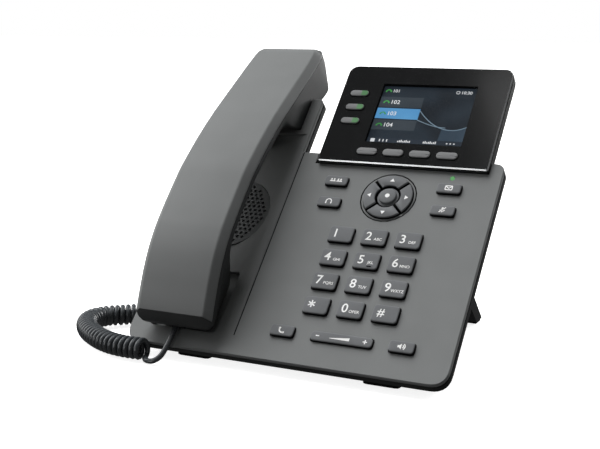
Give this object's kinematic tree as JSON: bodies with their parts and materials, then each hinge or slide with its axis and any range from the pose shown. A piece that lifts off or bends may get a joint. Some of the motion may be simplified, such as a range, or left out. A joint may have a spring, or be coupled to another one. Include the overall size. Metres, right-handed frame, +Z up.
{
  "type": "desk telephone",
  "caption": "Corded desk IP phone with a curly-cord handset, raised colour display, sprung keys and a clip-on stand.",
  "frame": {"origin": "on the desk, under the middle of the phone without its cord", "axes": "+Z up, +X to the user's right, +Y away from the user; the keypad faces -Y and up"},
  "size_m": [0.2353, 0.1638, 0.1632],
  "materials": {
    "grey_plastic": "fine matte texture",
    "key_plastic": "satin with printed legends",
    "black_plastic": "fine matte texture",
    "gloss_black": "polished",
    "clear_window": "polished clear",
    "screen": "lit colour display",
    "green_lens": "translucent",
    "rubber": "matte",
    "silicone": "matte",
    "circuit_board": "solder mask",
    "metal": "satin",
    "cord_plastic": "glossy flexible jacket",
    "plug_plastic": "clear smoked"
  },
  "bodies": {
    "base": {"front_cover": "grey_plastic", "rear_cover": "black_plastic", "main_board": "circuit_board", "keypad_mat": "silicone", "message_led": "green_lens", "speaker_grille": "black_plastic", "speaker_driver": "metal", "hanger_tab": "grey_plastic", "network_jacks": "metal", "handset_jack": "black_plastic", "base_plug": "plug_plastic", "display_bezel": "gloss_black", "display_window": "clear_window", "lcd_panel": "screen", "display_board": "circuit_board", "display_housing": "black_plastic", "front_foot_left": "rubber", "front_foot_right": "rubber", "stand": "black_plastic", "stand_pad": "rubber", "cord_coil": "cord_plastic", "cord_lead_handset": "cord_plastic", "cord_lead_base": "cord_plastic"},
    "handset": {"handset_front_shell": "grey_plastic", "handset_back_shell": "black_plastic", "earpiece_receiver": "black_plastic", "microphone": "metal", "handset_plug": "plug_plastic"},
    "hook_plunger": {"hook_plunger": "black_plastic"},
    "key_1": {"key_1": "key_plastic"},
    "key_2": {"key_2": "key_plastic"},
    "key_3": {"key_3": "key_plastic"},
    "key_4": {"key_4": "key_plastic"},
    "key_5": {"key_5": "key_plastic"},
    "key_6": {"key_6": "key_plastic"},
    "key_7": {"key_7": "key_plastic"},
    "key_8": {"key_8": "key_plastic"},
    "key_9": {"key_9": "key_plastic"},
    "key_star": {"key_star": "key_plastic"},
    "key_0": {"key_0": "key_plastic"},
    "key_hash": {"key_hash": "key_plastic"},
    "conference_key": {"conference_key": "key_plastic"},
    "headset_key": {"headset_key": "key_plastic"},
    "message_key": {"message_key": "key_plastic"},
    "mute_key": {"mute_key": "key_plastic"},
    "call_key": {"call_key": "key_plastic"},
    "speaker_key": {"speaker_key": "key_plastic"},
    "nav_right": {"nav_right": "key_plastic"},
    "nav_up": {"nav_up": "key_plastic"},
    "nav_left": {"nav_left": "key_plastic"},
    "nav_down": {"nav_down": "key_plastic"},
    "nav_ok": {"nav_ok": "key_plastic"},
    "volume_rocker": {"volume_rocker": "key_plastic"},
    "line_key_1": {"line_key_1": "key_plastic"},
    "line_key_2": {"line_key_2": "key_plastic"},
    "line_key_3": {"line_key_3": "key_plastic"},
    "soft_key_1": {"soft_key_1": "key_plastic"},
    "soft_key_2": {"soft_key_2": "key_plastic"},
    "soft_key_3": {"soft_key_3": "key_plastic"},
    "soft_key_4": {"soft_key_4": "key_plastic"}
  },
  "joints": [
    {"name": "handset_lift", "type": "slide", "parent": "base", "child": "handset", "axis": [0, -0.7104, 0.7038], "range_m": [0, 0.06]},
    {"name": "hook_plunger_slide", "type": "slide", "parent": "base", "child": "hook_plunger", "axis": [0, -0.7104, 0.7038], "range_m": [0, 0.0027]},
    {"name": "key_1_press", "type": "slide", "parent": "base", "child": "key_1", "axis": [0, 0.7104, -0.7038], "range_m": [0, 0.0012], "stiffness_N_per_m": 500, "springref_m": -0.0004},
    {"name": "key_2_press", "type": "slide", "parent": "base", "child": "key_2", "axis": [0, 0.7104, -0.7038], "range_m": [0, 0.0012], "stiffness_N_per_m": 500, "springref_m": -0.0004},
    {"name": "key_3_press", "type": "slide", "parent": "base", "child": "key_3", "axis": [0, 0.7104, -0.7038], "range_m": [0, 0.0012], "stiffness_N_per_m": 500, "springref_m": -0.0004},
    {"name": "key_4_press", "type": "slide", "parent": "base", "child": "key_4", "axis": [0, 0.7104, -0.7038], "range_m": [0, 0.0012], "stiffness_N_per_m": 500, "springref_m": -0.0004},
    {"name": "key_5_press", "type": "slide", "parent": "base", "child": "key_5", "axis": [0, 0.7104, -0.7038], "range_m": [0, 0.0012], "stiffness_N_per_m": 500, "springref_m": -0.0004},
    {"name": "key_6_press", "type": "slide", "parent": "base", "child": "key_6", "axis": [0, 0.7104, -0.7038], "range_m": [0, 0.0012], "stiffness_N_per_m": 500, "springref_m": -0.0004},
    {"name": "key_7_press", "type": "slide", "parent": "base", "child": "key_7", "axis": [0, 0.7104, -0.7038], "range_m": [0, 0.0012], "stiffness_N_per_m": 500, "springref_m": -0.0004},
    {"name": "key_8_press", "type": "slide", "parent": "base", "child": "key_8", "axis": [0, 0.7104, -0.7038], "range_m": [0, 0.0012], "stiffness_N_per_m": 500, "springref_m": -0.0004},
    {"name": "key_9_press", "type": "slide", "parent": "base", "child": "key_9", "axis": [0, 0.7104, -0.7038], "range_m": [0, 0.0012], "stiffness_N_per_m": 500, "springref_m": -0.0004},
    {"name": "key_star_press", "type": "slide", "parent": "base", "child": "key_star", "axis": [0, 0.7104, -0.7038], "range_m": [0, 0.0012], "stiffness_N_per_m": 500, "springref_m": -0.0004},
    {"name": "key_0_press", "type": "slide", "parent": "base", "child": "key_0", "axis": [0, 0.7104, -0.7038], "range_m": [0, 0.0012], "stiffness_N_per_m": 500, "springref_m": -0.0004},
    {"name": "key_hash_press", "type": "slide", "parent": "base", "child": "key_hash", "axis": [0, 0.7104, -0.7038], "range_m": [0, 0.0012], "stiffness_N_per_m": 500, "springref_m": -0.0004},
    {"name": "conference_key_press", "type": "slide", "parent": "base", "child": "conference_key", "axis": [0, 0.7104, -0.7038], "range_m": [0, 0.0012], "stiffness_N_per_m": 500, "springref_m": -0.0004},
    {"name": "headset_key_press", "type": "slide", "parent": "base", "child": "headset_key", "axis": [0, 0.7104, -0.7038], "range_m": [0, 0.0012], "stiffness_N_per_m": 500, "springref_m": -0.0004},
    {"name": "message_key_press", "type": "slide", "parent": "base", "child": "message_key", "axis": [0, 0.7104, -0.7038], "range_m": [0, 0.0012], "stiffness_N_per_m": 500, "springref_m": -0.0004},
    {"name": "mute_key_press", "type": "slide", "parent": "base", "child": "mute_key", "axis": [0, 0.7104, -0.7038], "range_m": [0, 0.0012], "stiffness_N_per_m": 500, "springref_m": -0.0004},
    {"name": "call_key_press", "type": "slide", "parent": "base", "child": "call_key", "axis": [0, 0.7104, -0.7038], "range_m": [0, 0.0012], "stiffness_N_per_m": 500, "springref_m": -0.0004},
    {"name": "speaker_key_press", "type": "slide", "parent": "base", "child": "speaker_key", "axis": [0, 0.7104, -0.7038], "range_m": [0, 0.0012], "stiffness_N_per_m": 500, "springref_m": -0.0004},
    {"name": "nav_right_press", "type": "slide", "parent": "base", "child": "nav_right", "axis": [0, 0.7104, -0.7038], "range_m": [0, 0.001], "stiffness_N_per_m": 500, "springref_m": -0.0004},
    {"name": "nav_up_press", "type": "slide", "parent": "base", "child": "nav_up", "axis": [0, 0.7104, -0.7038], "range_m": [0, 0.001], "stiffness_N_per_m": 500, "springref_m": -0.0004},
    {"name": "nav_left_press", "type": "slide", "parent": "base", "child": "nav_left", "axis": [0, 0.7104, -0.7038], "range_m": [0, 0.001], "stiffness_N_per_m": 500, "springref_m": -0.0004},
    {"name": "nav_down_press", "type": "slide", "parent": "base", "child": "nav_down", "axis": [0, 0.7104, -0.7038], "range_m": [0, 0.001], "stiffness_N_per_m": 500, "springref_m": -0.0004},
    {"name": "nav_ok_press", "type": "slide", "parent": "base", "child": "nav_ok", "axis": [0, 0.7104, -0.7038], "range_m": [0, 0.001], "stiffness_N_per_m": 500, "springref_m": -0.0004},
    {"name": "volume_rocker_tilt", "type": "hinge", "parent": "base", "child": "volume_rocker", "pos_m": [0.0331, -0.05835, 0.01784], "axis": [0, 0.7038, 0.7104], "range_deg": [-4, 4], "stiffness_Nm_per_rad": 0.13},
    {"name": "line_key_1_press", "type": "slide", "parent": "base", "child": "line_key_1", "axis": [0, 0.7215, -0.6924], "range_m": [0, 0.0008], "stiffness_N_per_m": 500, "springref_m": -0.0004},
    {"name": "line_key_2_press", "type": "slide", "parent": "base", "child": "line_key_2", "axis": [0, 0.7215, -0.6924], "range_m": [0, 0.0008], "stiffness_N_per_m": 500, "springref_m": -0.0004},
    {"name": "line_key_3_press", "type": "slide", "parent": "base", "child": "line_key_3", "axis": [0, 0.7215, -0.6924], "range_m": [0, 0.0008], "stiffness_N_per_m": 500, "springref_m": -0.0004},
    {"name": "soft_key_1_press", "type": "slide", "parent": "base", "child": "soft_key_1", "axis": [0, 0.7215, -0.6924], "range_m": [0, 0.0008], "stiffness_N_per_m": 500, "springref_m": -0.0004},
    {"name": "soft_key_2_press", "type": "slide", "parent": "base", "child": "soft_key_2", "axis": [0, 0.7215, -0.6924], "range_m": [0, 0.0008], "stiffness_N_per_m": 500, "springref_m": -0.0004},
    {"name": "soft_key_3_press", "type": "slide", "parent": "base", "child": "soft_key_3", "axis": [0, 0.7215, -0.6924], "range_m": [0, 0.0008], "stiffness_N_per_m": 500, "springref_m": -0.0004},
    {"name": "soft_key_4_press", "type": "slide", "parent": "base", "child": "soft_key_4", "axis": [0, 0.7215, -0.6924], "range_m": [0, 0.0008], "stiffness_N_per_m": 500, "springref_m": -0.0004}
  ],
  "couplings": [
    {"joint": "hook_plunger_slide", "follows": "handset_lift", "ratio": 0.045}
  ]
}
